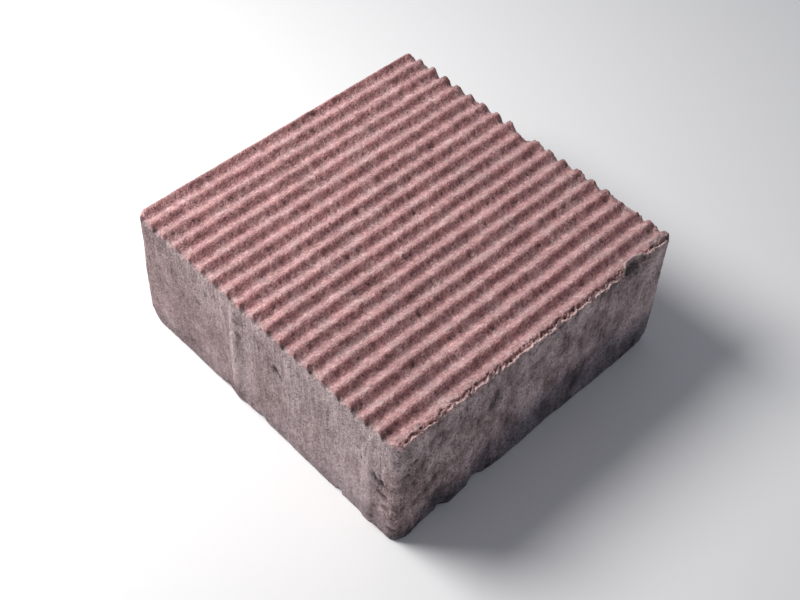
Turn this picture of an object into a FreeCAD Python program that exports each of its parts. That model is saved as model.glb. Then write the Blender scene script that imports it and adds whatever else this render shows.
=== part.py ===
"""Tactile paving slab: one piece of pressed concrete with a ribbed top face.

Millimetres, +Z up.  The origin is the centre of the underside.
X runs across the ribs and Y along them.
"""
import FreeCAD, Part
import math
import os

os.makedirs("parts", exist_ok=True)

V = FreeCAD.Vector

# ---------------------------------------------------------------- dimensions
BODY_SIDE = 197.5        # plan size of the body: a 200 mm laying module less the joint
TOP_Z = 85.0             # underside to rib crest
RIB_PITCH = 10.17        # crest to crest
RIB_DEPTH = 4.2          # crest to groove floor
RIB_ROUND = 2.0          # radius of crests and of groove floors
CREST_X = 94.3           # the crest nearest the +X side; the others follow at RIB_PITCH
RIB_END_ROUND = 2.0      # how far the rib ends are rounded off at the +Y and -Y sides

CORNER_ROUND = 4.5       # upright corners
FOOT_ROUND = 1.6         # edge all round the underside

NIB_PROUD = 1.8          # spacer nibs stand out of the sides by a little less than the joint
NIB_FOOT_Z = 0.8         # lowest point of a nib
NIB_FULL_Z = 66.0        # a nib keeps its full depth up to here
NIB_TOP_Z = 76.0         # and has run out into the side here
NIB_ROOT = 6.0           # how far a nib is carried into the body
NARROW_BASE, NARROW_TIP = 11.0, 5.5      # widths of a narrow nib at the side and at its face
WIDE_BASE, WIDE_TIP = 22.5, 17.5         # widths of a broad nib
NARROW_AT_X = (-21.5, 79.0)              # on the -Y side; half a turn puts them on the +Y side
WIDE_AT_Y = (-55.0,)                     # on the +X side; half a turn puts it on the -X side

HALF = BODY_SIDE / 2.0


# ---------------------------------------------------------------- the ribbed section
def flank_angle(pitch, depth, r):
    """Slope of the straight flank that joins equal crest and floor rounds."""
    lo, hi = math.radians(20.0), math.radians(80.0)
    for _ in range(60):
        a = 0.5 * (lo + hi)
        run = pitch / 2.0 - 2.0 * r * math.sin(a)
        drop = 2.0 * r * (1.0 - math.cos(a)) + run * math.tan(a)
        if drop < depth:
            lo = a
        else:
            hi = a
    return 0.5 * (lo + hi)


def section_face():
    """Closed X-Z section, carried past both sides so that the plan cuts it to length."""
    a = flank_angle(RIB_PITCH, RIB_DEPTH, RIB_ROUND)
    r, s, c = RIB_ROUND, math.sin(a), math.cos(a)
    h2, c2 = math.sin(a / 2.0), math.cos(a / 2.0)
    floor = TOP_Z - RIB_DEPTH
    first = CREST_X + RIB_PITCH
    count = int(math.ceil((first + HALF + RIB_PITCH) / RIB_PITCH))
    edges = []
    x_end = first + RIB_PITCH / 2.0
    x0 = x_end
    last = V(x0, 0, floor)
    start = last
    for k in range(count):
        xc = first - k * RIB_PITCH           # a crest, with a groove floor on each side
        xr, xl = xc + RIB_PITCH / 2.0, xc - RIB_PITCH / 2.0
        p1 = V(xr - r * s, 0, floor + r * (1.0 - c))
        m1 = V(xr - r * h2, 0, floor + r * (1.0 - c2))
        p2 = V(xc + r * s, 0, TOP_Z - r * (1.0 - c))
        top = V(xc, 0, TOP_Z)
        p3 = V(xc - r * s, 0, TOP_Z - r * (1.0 - c))
        p4 = V(xl + r * s, 0, floor + r * (1.0 - c))
        m2 = V(xl + r * h2, 0, floor + r * (1.0 - c2))
        p5 = V(xl, 0, floor)
        edges.append(Part.Arc(last, m1, p1).toShape())
        edges.append(Part.LineSegment(p1, p2).toShape())
        edges.append(Part.Arc(p2, top, p3).toShape())
        edges.append(Part.LineSegment(p3, p4).toShape())
        edges.append(Part.Arc(p4, m2, p5).toShape())
        last = p5
    low_l, low_r = V(last.x, 0, -10.0), V(start.x, 0, -10.0)
    edges.append(Part.LineSegment(last, low_l).toShape())
    edges.append(Part.LineSegment(low_l, low_r).toShape())
    edges.append(Part.LineSegment(low_r, start).toShape())
    return Part.Face(Part.Wire(edges))


def ribbed_bar():
    face = section_face()
    face.translate(V(0, -HALF - 5.0, 0))
    return face.extrude(V(0, BODY_SIDE + 10.0, 0))


# ---------------------------------------------------------------- the block it is cut from
def block():
    b = Part.makeBox(BODY_SIDE, BODY_SIDE, TOP_Z + 5.0, V(-HALF, -HALF, 0))
    upright = [e for e in b.Edges
               if abs(e.Vertexes[0].Z - e.Vertexes[1].Z) > TOP_Z]
    b = b.makeFillet(CORNER_ROUND, upright)
    foot = [e for e in b.Edges if e.BoundBox.ZMax < 1e-6]
    return b.makeFillet(FOOT_ROUND, foot)


def end_rounding():
    """Long bar along X whose two upper edges round off the rib ends."""
    w, t = HALF + 5.0, TOP_Z
    e = RIB_END_ROUND
    q = e * (1.0 - math.sqrt(0.5))
    edges = []
    a0, a1 = V(0, -HALF, t - e), V(0, -HALF + e, t)
    am = V(0, -HALF + q, t - q)
    b0, b1 = V(0, HALF - e, t), V(0, HALF, t - e)
    bm = V(0, HALF - q, t - q)
    c0, c1 = V(0, HALF, -10.0), V(0, -HALF, -10.0)
    edges.append(Part.Arc(a0, am, a1).toShape())
    edges.append(Part.LineSegment(a1, b0).toShape())
    edges.append(Part.Arc(b0, bm, b1).toShape())
    edges.append(Part.LineSegment(b1, c0).toShape())
    edges.append(Part.LineSegment(c0, c1).toShape())
    edges.append(Part.LineSegment(c1, a0).toShape())
    face = Part.Face(Part.Wire(edges))
    face.translate(V(-w, 0, 0))
    return face.extrude(V(2.0 * w, 0, 0))


# ---------------------------------------------------------------- spacer nibs
def nib(base, tip, at):
    """A nib on the -Y side at X = at: trapezium in plan, run out into the side at its top."""
    y0, y1 = -HALF + NIB_ROOT, -HALF
    y2 = -HALF - NIB_PROUD
    plan = [V(at - base / 2, y0, NIB_FOOT_Z), V(at - base / 2, y1, NIB_FOOT_Z),
            V(at - tip / 2, y2, NIB_FOOT_Z), V(at + tip / 2, y2, NIB_FOOT_Z),
            V(at + base / 2, y1, NIB_FOOT_Z), V(at + base / 2, y0, NIB_FOOT_Z)]
    prism = Part.Face(Part.makePolygon(plan + plan[:1])).extrude(V(0, 0, NIB_TOP_Z + 5.0))
    side = [V(0, y0, -5.0), V(0, y2 - 1.0, -5.0), V(0, y2 - 1.0, NIB_FULL_Z), V(0, y2, NIB_FULL_Z),
            V(0, y1, NIB_TOP_Z), V(0, y0, NIB_TOP_Z)]
    wedge = Part.Face(Part.makePolygon(side + side[:1])).extrude(V(base + 10.0, 0, 0))
    wedge.translate(V(at - base / 2 - 5.0, 0, 0))
    return prism.common(wedge)


def turned(shape, degrees):
    s = shape.copy()
    s.rotate(V(0, 0, 0), V(0, 0, 1), degrees)
    return s


# ---------------------------------------------------------------- assemble the one solid
slab = block().common(ribbed_bar()).common(end_rounding())

nibs = []
for x in NARROW_AT_X:
    n = nib(NARROW_BASE, NARROW_TIP, x)
    nibs += [n, turned(n, 180.0)]
for y in WIDE_AT_Y:
    n = nib(WIDE_BASE, WIDE_TIP, y)      # drawn on the -Y side, then turned to +X and -X
    nibs += [turned(n, 90.0), turned(n, 270.0)]

slab = slab.fuse(nibs).removeSplitter()
solids = slab.Solids
assert len(solids) == 1, len(solids)
slab = solids[0]
assert slab.isValid()

bb = slab.BoundBox
print("box %.2f %.2f %.2f  low %.2f %.2f %.2f" % (bb.XLength, bb.YLength, bb.ZLength, bb.XMin, bb.YMin, bb.ZMin))
print("volume %.1f cm3, faces %d" % (slab.Volume / 1000.0, len(slab.Faces)))
slab.exportStep("parts/paving_slab.step")
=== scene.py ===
import math

import bpy
import numpy as np
from mathutils import Matrix, Vector


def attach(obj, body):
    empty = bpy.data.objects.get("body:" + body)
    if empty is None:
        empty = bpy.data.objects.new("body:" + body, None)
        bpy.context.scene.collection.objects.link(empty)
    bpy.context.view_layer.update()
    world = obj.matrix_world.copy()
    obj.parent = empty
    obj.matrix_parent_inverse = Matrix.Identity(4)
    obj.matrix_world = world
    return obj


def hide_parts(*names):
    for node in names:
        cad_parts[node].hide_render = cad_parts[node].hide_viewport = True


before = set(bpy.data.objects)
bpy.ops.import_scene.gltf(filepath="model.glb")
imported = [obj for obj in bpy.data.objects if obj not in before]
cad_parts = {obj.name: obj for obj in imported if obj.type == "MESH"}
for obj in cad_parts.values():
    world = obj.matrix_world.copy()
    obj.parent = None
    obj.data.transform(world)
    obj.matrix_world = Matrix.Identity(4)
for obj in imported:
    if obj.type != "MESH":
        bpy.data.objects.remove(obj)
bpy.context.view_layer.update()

# =====================================================================================
# Everything below is in millimetres until the mesh is written out, in the same frame as
# the solid: origin at the centre of the underside, X across the ribs, Y along them.
# =====================================================================================
A = 98.75            # half the side of the body
H = 85.0             # underside to rib crest
PITCH = 10.17
CREST = 94.3         # crest nearest the +X side
DEPTH = 4.2          # crest to groove floor
CREST_R = 2.0        # round of the crests
FLOOR_R = 2.0        # round of the groove floors
NIB = 1.8            # how far the spacer nibs stand out
LIMIT = 100.5        # no point goes further out than this
SEED = 7

# upright corners, (-X,-Y), (+X,-Y), (+X,+Y), (-X,+Y): radius at the top, and from the foot up
ROUND = [2.2, 5.4, 5.0, 4.5]
ROUND_Z = np.array([0.0, 8.0, 26.0, 46.0, 60.0, 90.0])
ROUND_AT = np.array([
    [0.8, 0.8, 0.8, 1.0, 1.9, 2.2],
    [3.6, 4.2, 4.6, 4.8, 5.2, 5.4],
    [2.4, 2.4, 2.4, 3.2, 5.0, 5.0],
    [4.5, 4.5, 4.5, 4.5, 4.5, 4.5],
])
SIGNS = ((-1, -1), (1, -1), (1, 1), (-1, 1))


# ------------------------------------------------------------------------------ noise
def _h(ix, iy, iz, seed):
    with np.errstate(over="ignore"):
        h = (ix.astype(np.uint32) * np.uint32(374761393)
             + iy.astype(np.uint32) * np.uint32(668265263)
             + iz.astype(np.uint32) * np.uint32(2246822519)
             + np.uint32((seed * 3266489917) & 0xFFFFFFFF))
        h = (h ^ (h >> np.uint32(15))) * np.uint32(2246822519)
        h = (h ^ (h >> np.uint32(13))) * np.uint32(3266489917)
        h = h ^ (h >> np.uint32(16))
    return h


def noise(x, y, z=0.0, seed=0):
    """Gradient noise, about -1 to 1, with features about one unit across."""
    x, y, z = np.broadcast_arrays(np.asarray(x, float), np.asarray(y, float), np.asarray(z, float))
    fx, fy, fz = np.floor(x), np.floor(y), np.floor(z)
    ix, iy, iz = fx.astype(np.int64), fy.astype(np.int64), fz.astype(np.int64)
    dx, dy, dz = x - fx, y - fy, z - fz
    u, v, w = (t * t * t * (t * (t * 6 - 15) + 10) for t in (dx, dy, dz))
    out = np.zeros(x.shape)
    for a in (0, 1):
        for b in (0, 1):
            for c in (0, 1):
                g = _h(ix + a, iy + b, iz + c, SEED + seed)
                gx = (g & np.uint32(1023)).astype(float) / 511.5 - 1.0
                gy = ((g >> np.uint32(10)) & np.uint32(1023)).astype(float) / 511.5 - 1.0
                gz = ((g >> np.uint32(20)) & np.uint32(1023)).astype(float) / 511.5 - 1.0
                dot = gx * (dx - a) + gy * (dy - b) + gz * (dz - c)
                out += dot * (u if a else 1 - u) * (v if b else 1 - v) * (w if c else 1 - w)
    return out * 1.5


def fbm(x, y, z=0.0, seed=0, octaves=3, gain=0.5):
    s, amp, tot, f = 0.0, 1.0, 0.0, 1.0
    for k in range(octaves):
        s = s + amp * noise(np.asarray(x) * f, np.asarray(y) * f, np.asarray(z) * f, seed + 31 * k)
        tot += amp
        amp *= gain
        f *= 2.03
    return s / tot


def rand(k, seed):
    """One steady number from 0 to 1 for each whole number k."""
    k = np.asarray(k)
    return (_h(k.astype(np.int64) + 4096, k * 0 + 17, k * 0 + 3, SEED + seed) & np.uint32(0xFFFF)).astype(float) / 65535.0


def smooth(t):
    t = np.clip(t, 0.0, 1.0)
    return t * t * (3 - 2 * t)


# ------------------------------------------------------------------- the ribbed top face
def _angle():
    lo, hi = math.radians(20), math.radians(80)
    w = CREST_R + FLOOR_R
    for _ in range(60):
        a = (lo + hi) / 2
        drop = w * (1 - math.cos(a)) + (PITCH / 2 - w * math.sin(a)) * math.tan(a)
        lo, hi = (a, hi) if drop < DEPTH else (lo, a)
    return (lo + hi) / 2


ANGLE = _angle()


def across(x):
    """Distance from the nearest crest, positive on its +X side."""
    return (x - CREST + PITCH / 2) % PITCH - PITCH / 2


def rib(x):
    """Height of the ribbed section above the groove floor, 0 to DEPTH."""
    d = np.abs(across(x))
    e = PITCH / 2 - d
    s, c = math.sin(ANGLE), math.cos(ANGLE)
    top = DEPTH - (CREST_R - np.sqrt(np.maximum(CREST_R ** 2 - d * d, 0)))
    low = FLOOR_R - np.sqrt(np.maximum(FLOOR_R ** 2 - e * e, 0))
    mid = DEPTH - CREST_R * (1 - c) - (d - CREST_R * s) * math.tan(ANGLE)
    return np.where(d < CREST_R * s, top, np.where(e < FLOOR_R * s, low, mid))


# how much each rib is rounded off at its +Y end, from the +X side on
END_BACK = np.array([0.7, 0.5, 3.5, 3.3, 0.7, 1.0, 0.7, 1.3, 2.2, 2.2, 4.5, 0.4, 1.7, 1.8, 2.0, 2.8, 1.8, 0.5, 3.0, 3.4, 3.4])
# and how much is worn off or stuck there to its +X flank, to the foot of that flank, and to the groove beyond
END_LEE = np.array([0.8, 0.1, 1.1, -0.1, 0.4, 0.5, 1.1, -0.1, 0.4, 0.6, 0, 0, 0, 0, -1.4, -0.5, 0, -0.7, -1.3, -1.2, 0])
END_TAIL = np.array([0, 2.2, 2.3, 1.0, 2.1, 1.2, 2.5, 1.2, 0.6, 1.6, 0, 0, -0.6, 0, 0, 0, -0.8, -0.6, 0, -0.5, 0])
END_FLOOR = np.array([0, 0.9, 0, 0, 1.5, 0.6, 0.8, 0.8, -0.5, 0.8, 0, -0.6, -1.0, 0, 0.8, -0.4, -0.3, -1.4, 0, -0.7, 0])


# the flash along the +X edge: where, how far it stands up, how deep the trench behind it is
FLASH_Y = np.array([-97, -92, -84, -76, -68, -60, -52, -44, -36, -28, -20, -12, -4, 4, 12, 20, 28, 36, 44, 52, 58, 62, 76, 80, 85, 92, 97])
FLASH_UP = np.array([.6, 1., .9, .45, 1.1, .9, .6, .9, .45, .7, .9, 1., .3, .85, .05, .6, .85, .4, .65, .5, .2, .1, .3, .9, 1., .8, .3])
TRENCH = np.array([.3, .6, .8, .8, .5, .55, .5, .45, .6, 1., .9, .9, .5, .8, .9, .8, 1., .6, .5, .7, .5, .1, .1, .3, .8, .4, .1])
# how far the same edge is bitten away over a hollow
BITE_Y = np.array([56, 59, 62, 66, 69.5, 73, 76, 79, 82.5, 85])
BITE_IN = np.array([0, .5, 2.0, 4.0, 4.5, 4.0, 2.8, 1.5, .4, 0])


def top_height(x, y):
    """Height of the ribbed face, and where it is pale flash, outside the flash, coarse, darkened by dirt and painted
    shade, or given a redder painted shade tint.
    """
    xw = (x + 0.15 + 0.005 * y + 0.34 * noise(x / 35, y / 22, 0, 1) + 0.40 * noise(x / 6.5, y / 6.0, 0, 2)
          + 0.16 * noise(x / 2.6, y / 2.6, 0, 8))
    # the last rib is broader towards the edge, most at its -Y end
    xw = xw - (0.75 + 0.45 * smooth((-y - 40.0) / 30.0)) * smooth((x - 93.9) / 1.2)
    up = rib(xw)
    p = across(xw)
    lee = smooth((p - 0.7) / 1.4) * smooth((4.3 - p) / 1.4)     # flank on the +X side of each rib
    shade_tint = smooth((p + 0.2) / 0.9) * smooth((3.4 - p) / 1.8)     # and its upper part with the crest's far edge, which gets a redder painted shade tint
    # crests are a little uneven, worn lower in places
    up = up * (1.0 - 0.09 * (0.5 + 0.5 * noise(x / 14, y / 11, 0, 3)) - 0.05 * np.abs(noise(x / 4, y / 4, 0, 4)))
    z = H - DEPTH + up
    # crumbly skin: lumps of sand all over, pores and scars mostly on the +X flanks
    lump = 0.22 * fbm(x / 3.8, y / 3.8, 0, 5, 2) + 0.18 * noise(x / 1.7, y / 1.9, 0, 6)
    z = z + lump * (0.8 + 0.5 * lee)
    pore = np.clip(noise(x / 2.0, y / 2.3, 0, 7) - 0.20, 0, 1)
    scar = np.clip(noise(x / 3.3, y / 4.8, 0, 9) - 0.16, 0, 1) * lee
    z = z - pore * (0.40 + 1.7 * lee) - 1.3 * scar
    # pores and scars are darkened, partly dirt and partly painted shade
    dirt_and_shade = np.clip(1.3 * pore * lee + 1.0 * scar, 0, 0.75)
    skinned = np.zeros_like(z)
    # rib ends: each one rounded off by its own amount
    k = np.clip(np.round((CREST - x) / PITCH).astype(int), 0, 20)
    for side, seed in ((-1, 11), (1, 12)):
        d = A - side * y
        if side < 0:
            e = 1.9 + 1.4 * rand(k, seed) + 0.8 * noise(x / 2.6, y / 3.2, 0, seed + 3)
        else:
            e = END_BACK[k] + 0.7 * noise(x / 2.4, y / 3.2, 0, seed + 3)
        e = np.maximum(e, 0.35)
        t = np.clip(1 - d / e, 0, 1)
        drop = e * (1 - np.sqrt(np.maximum(1 - t * t, 0)))
        z = np.minimum(z, np.maximum(H - drop, H - DEPTH - 0.25 * t))
        # grooves break a little at the very edge
        z = z - (0.30 + 0.5 * np.clip(noise(x / 2.2, 1.7, 0, seed + 5), 0, 1)) * smooth(1 - d / 0.7)
        if side < 0:
            # and are hollowed out under the flank of the rib beside them, and darkened there, partly dirt and partly
            # painted shade
            nick = lee * smooth((2.6 + 1.0 * noise(x / 3.0, y / 3.0, 0, 18) - d) / 1.6) * smooth((rand(k, 19) + 0.35) / 0.5)
            z = z - 0.9 * nick
            dirt_and_shade = np.maximum(dirt_and_shade, 0.62 * nick)
            floor = smooth((H - DEPTH + 1.9 - z) / 1.4)
            z = z - 1.15 * floor * smooth((2.4 - d) / 2.4)
            skinned = smooth((2.0 + 0.9 * noise(x / 2.2, y / 2.2, 0, 76) - d) / 0.9) * floor
            dirt_and_shade = dirt_and_shade * (1 - 0.75 * skinned)
        else:
            g = np.clip(np.ceil((CREST - xw) / PITCH).astype(int), 0, 20)
            kk = np.clip(np.round((CREST - xw) / PITCH).astype(int), 0, 20)
            worn = (END_LEE[kk] * smooth((p - 0.5) / 1.0) * smooth((3.6 - p) / 1.2)
                    + END_TAIL[kk] * smooth((p - 2.6) / 1.1) * smooth((5.0 - p) / 1.0)
                    + END_FLOOR[g] * smooth((1.8 - (PITCH / 2 - np.abs(p))) / 1.6))
            z = z + worn * smooth((3.6 - d) / 3.0)
            ends = smooth((4.2 + 2.4 * noise(x / 4.0, y / 4.0, 0, 33) - d) / 2.5)
            z = z - 0.5 * ends * np.clip(noise(x / 1.8, y / 1.8, 0, 35) + 0.1, 0, 1)
            dirt_and_shade = np.maximum(dirt_and_shade, ends * np.clip(0.30 + 0.55 * noise(x / 2.5, y / 2.5, 0, 34), 0, 0.7))
    # one rib broken off short at the +Y edge
    chip = smooth((5.6 - np.abs(x + 6.6)) / 2.2) * smooth((4.2 + 1.2 * noise(x / 2.5, y / 2.5, 0, 16) - (A - y)) / 1.6)
    z = z - chip * np.maximum(z - (H - 6.2 + 1.6 * smooth((x + 5.5) / 3.0)), 0)
    # two grooves towards the +X side are clogged level at their ends, with the foot of the rib beside them
    for at, half, low in ((70.2, 3.4, 2.7), (60.4, 2.9, 2.5)):
        clog = smooth((half + 0.7 - np.abs(x - at)) / 1.4) * smooth((4.6 - (A - y)) / 3.0)
        z = z + clog * (H - low + 0.3 * noise(x / 2.0, y / 2.0, 0, 17) - z)
    # the -X -Y corner is rubbed round
    z = np.minimum(z, H + 0.5 - 4.2 * smooth((5.2 - np.hypot(x + A, y + A)) / 5.2))
    # thin ragged flash along the +X edge, winding and broken, with a trench between it and the last rib;
    # the edge is bitten away over a hollow in the +X face, and the flash goes round behind it
    q = A - x
    near_end = smooth((A - np.abs(y) - 1.0) / 3.0)
    reach = np.interp(y, BITE_Y, BITE_IN)
    reach = np.maximum(reach + 0.55 * noise(y / 2.2, x / 2.2, 0, 27) * smooth(reach / 1.5), 0)
    stand, deep = np.interp(y, FLASH_Y, FLASH_UP), np.interp(y, FLASH_Y, TRENCH)
    wind = np.clip(0.50 + 0.46 * noise(y / 4.6, 0.3, 0.7, 20) + 0.36 * noise(y / 1.7, 0.3, 0.2, 24), 0.05, 1.5) + reach
    thick = np.clip(1.08 + 0.75 * noise(y / 2.4, 0.9, 0.4, 29), 0.50, 1.8)
    gap = smooth((noise(y / 3.1, 4.4, 0.5, 25) - 0.13) / 0.14)
    thin = smooth((-68.0 - y) / 10.0)
    thick, gap = thick * (1 - 0.42 * thin), gap * (1 - 0.8 * thin)
    crest_line = -2.1 + 1.35 * stand + 0.60 * noise(y / 4.2, 0.6, 0.1, 21) + 0.95 * noise(y / 1.6, 0.2, 0.4, 22)
    crest_line = np.minimum(crest_line - 1.6 * gap + 0.35 * thin, -0.15)
    hole = (0.35 + 0.65 * deep) * np.clip(0.08 + 1.9 * noise(y / 1.7, x / 2.2, 0, 23) + 0.6 * noise(y / 7.0, 3.3, 0, 26), 0, 1.3)
    trench = near_end * np.exp(-(((q - wind - 0.72 - 0.95 * thick - 0.35 * noise(y / 2.6, 1.3, 0, 38)) / 0.66) ** 2)) * (1 - 0.8 * smooth(reach / 2.0))
    z = z - 1.7 * hole * trench
    # the trench is darkened, partly dirt and partly painted shade
    dirt_and_shade = np.maximum(dirt_and_shade, np.clip(1.5 * hole * trench, 0, 0.95))
    fin = H + crest_line - 2.4 * (np.abs(q - wind) / thick) ** 4.0
    fin = np.where(near_end > 0.02, fin * near_end + (H - 9.0) * (1 - near_end), 0.0)
    flash = smooth((fin - z) / 0.4 + 0.3) * smooth((q - wind + 0.75) / 0.3)
    z = np.maximum(z, fin)
    # its foot spreads over the edge in bits, with dark specks behind, partly dirt and partly painted shade
    bits = (smooth((1.60 + 0.95 * noise(y / 2.3, 7.7, 0, 73) - (q - wind)) / 0.35) * smooth((q - wind + 0.75) / 0.3)
            * smooth((noise(x / 1.6, y / 2.4, 0, 74) + 0.34) / 0.25) * near_end * (1 - smooth(reach / 1.0)) * (1 - 0.85 * thin))
    z = z + 0.35 * bits * smooth((H - 0.9 - z) / 0.6)
    flash = np.maximum(flash, 0.85 * bits)
    speck = (smooth((noise(x / 1.2, y / 1.6, 0, 75) - 0.10) / 0.2) * np.exp(-(((q - wind - 1.05 - 1.0 * thick) / 0.70) ** 2))
             * near_end * (0.45 + 0.55 * deep) * (1 - smooth(reach / 1.0)))
    z = z - 0.8 * speck
    dirt_and_shade = np.maximum(dirt_and_shade, 0.95 * speck)
    # crumbs where it has broken, in the trench and on the edge
    crumb = smooth((noise(x / 0.95, y / 1.25, 0, 36) - 0.20) / 0.22) * smooth((2.6 - q + reach) / 0.7) * near_end
    crumb = crumb * (1 - 0.8 * thin) * (0.45 + 0.55 * np.maximum(np.maximum(gap, smooth((0.7 - stand) / 0.5)), smooth((y - 76.0) / 6.0)))
    z = z + 0.85 * crumb
    flash = np.clip(np.maximum(flash, crumb), 0, 1) * np.clip(0.76 + 0.4 * thin + 0.55 * noise(x / 1.4, y / 1.4, 0, 39), 0.2, 1.15)
    dirt_and_shade = dirt_and_shade * (1 - 0.9 * np.clip(flash, 0, 1))
    # the last rib is worn and dirty at its far end
    frayed = smooth((y - 77.0) / 10.0) * smooth((x - 91.5) / 2.5)
    z = z - frayed * (0.25 + 0.8 * np.clip(noise(x / 1.5, y / 1.7, 0, 45), -0.3, 1))
    dirt_and_shade = np.maximum(dirt_and_shade, frayed * np.clip(0.26 + 0.85 * noise(x / 1.8, y / 2.0, 0, 46), 0, 0.75))
    bite = smooth((reach - 0.3 - q) / 0.6)
    inward = np.maximum(reach - q, 0)
    z = z - bite * np.maximum(z - (H - 2.0 - 0.62 * inward - 1.3 * noise(x / 1.9, y / 1.9, 0, 28)), 0)
    # the bitten hollow is darkened, partly dirt and partly painted shade
    dirt_and_shade = np.maximum(dirt_and_shade * (1 - bite), bite * smooth((inward - 0.9) / 1.2) * (1 - 0.9 * smooth((y - 72.5) / 3.0)) * np.clip(0.85 + 0.95 * noise(x / 1.6, y / 1.6, 0, 47), 0.25, 1))
    outer = np.maximum(np.maximum(smooth((wind - 0.45 - q) / 0.3) * near_end, 0.6 * frayed), skinned)
    flash = np.clip(flash * (1 - bite), 0, 1)
    brink = np.exp(-(((q - reach - 0.35) / 0.62) ** 2)) * smooth(reach / 1.0) * np.clip(0.95 + 0.7 * noise(x / 2.0, y / 2.0, 0, 48), 0.2, 1)
    z = z + 0.30 * brink
    # a dark line behind the brink, partly dirt and partly painted shade
    behind = np.exp(-(((q - reach - 1.75) / 0.55) ** 2)) * smooth(reach / 1.0) * np.clip(0.45 + 1.3 * noise(x / 1.8, y / 1.8, 0, 77), 0, 1)
    z = z - 0.55 * behind
    dirt_and_shade = np.maximum(dirt_and_shade, 0.7 * behind)
    flash, dirt_and_shade = np.maximum(flash, brink), dirt_and_shade * (1 - 0.8 * brink)
    return np.minimum(z, H - 0.02), flash, outer, np.maximum(lee, bite), dirt_and_shade, shade_tint


xs = np.concatenate([
    np.linspace(-A, -A + 1.6, 5)[:-1],
    np.linspace(-A + 1.6, A - 4.2, 252),
    np.linspace(A - 4.2, A, 18)[1:],
])
edge = np.array([0.0, 0.2, 0.45, 0.8, 1.25, 1.8, 2.45, 3.2, 4.1, 5.1])
rows = np.concatenate([-A + edge, np.linspace(-A + 5.1, A - 5.1, 206)[1:-1], (A - edge)[::-1]])
# rows twice as close for the last columns, next to the +X edge
ys = np.empty(2 * len(rows) - 1)
ys[::2], ys[1::2] = rows, (rows[1:] + rows[:-1]) / 2
NX, NY = len(xs), len(ys)
NEAR = NX - 17


def round_corners(x, y):
    """Carries a square grid into the square with rounded corners."""
    nx, ny = x, y
    for (sx, sy), r in zip(SIGNS, ROUND):
        u, v = (sx * x - (A - r)) / r, (sy * y - (A - r)) / r
        inside = (u > 0) & (v > 0)
        uu, vv = np.clip(u, 0, 1), np.clip(v, 0, 1)
        nx = np.where(inside, sx * (A - r + r * uu * np.sqrt(1 - vv * vv / 2)), nx)
        ny = np.where(inside, sy * (A - r + r * vv * np.sqrt(1 - uu * uu / 2)), ny)
    return nx, ny


GX, GY = np.meshgrid(xs, ys, indexing="ij")
TX, TY = round_corners(GX, GY)
TZ, FLASH, OUTER, LEE, DIRT_AND_SHADE, SHADE_TINT = top_height(TX, TY)


# ---------------------------------------------------------------------------- the sides
def lengths(side):
    """Radii at the two ends of a side, its half arcs there and the straight run between."""
    r0, r1 = ROUND[side], ROUND[(side + 1) % 4]
    return r0, r1, r0 * math.pi / 4, r1 * math.pi / 4, 2 * A - r0 - r1


def edge_path(side, t, z):
    """Point and outward normal at share t of a side, from corner to corner (anticlockwise from above), at height z."""
    r0, r1, arc0, arc1, run = lengths(side)
    s = np.asarray(t, float) * (arc0 + run + arc1)
    first, last = s < arc0, s > arc0 + run
    ang = np.where(first, -(1 - s / arc0) * math.pi / 4, np.where(last, (s - arc0 - run) / arc1 * math.pi / 4, 0.0))
    at0, at1 = np.interp(z, ROUND_Z, ROUND_AT[side]), np.interp(z, ROUND_Z, ROUND_AT[(side + 1) % 4])
    r = np.where(first, at0, np.where(last, at1, 0.0))
    px = np.where(first, -(A - r), np.where(last, A - r, -(A - r0) + s - arc0)) + r * np.sin(ang)
    py = -(A - r) - r * np.cos(ang)
    nx, ny = np.sin(ang), -np.cos(ang)
    for _ in range(side):
        px, py, nx, ny = -py, px, -ny, nx
    return px, py, nx, ny


def nib_height(side, u, z):
    """How far the spacer nibs stand out: sides 0 to 3 are -Y, +X, +Y, -X."""
    out = np.zeros_like(u)
    if side in (0, 2):
        sgn = 1 if side == 0 else -1
        places = [(-21.5 * sgn, 4.2, 7.0, sgn), (79.0 * sgn, 4.0, 6.5, sgn)]
    else:
        sgn = 1 if side == 1 else -1
        places = [(-55.0 * sgn, 10.5, 12.5, sgn)]
    fade = 0.40 + 0.60 * smooth((72.0 - z) / 30.0)
    fade = fade * smooth((79.0 - z) / 5.0)
    if side in (0, 2):
        fade = fade * (0.45 + 0.55 * smooth(z / 14.0))
    for at, near, far, way in places:
        d = (u - at - 0.5 * noise(u / 9, z / 9, side, 41)) * way + 1.2
        run = 2.8 if near < 8 else 3.4
        flank = smooth((near + d) / run) * smooth((far - d) / (5.6 if near < 8 else 4.4))
        out = np.maximum(out, flank * fade)
    return out * (NIB - 0.15)


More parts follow.
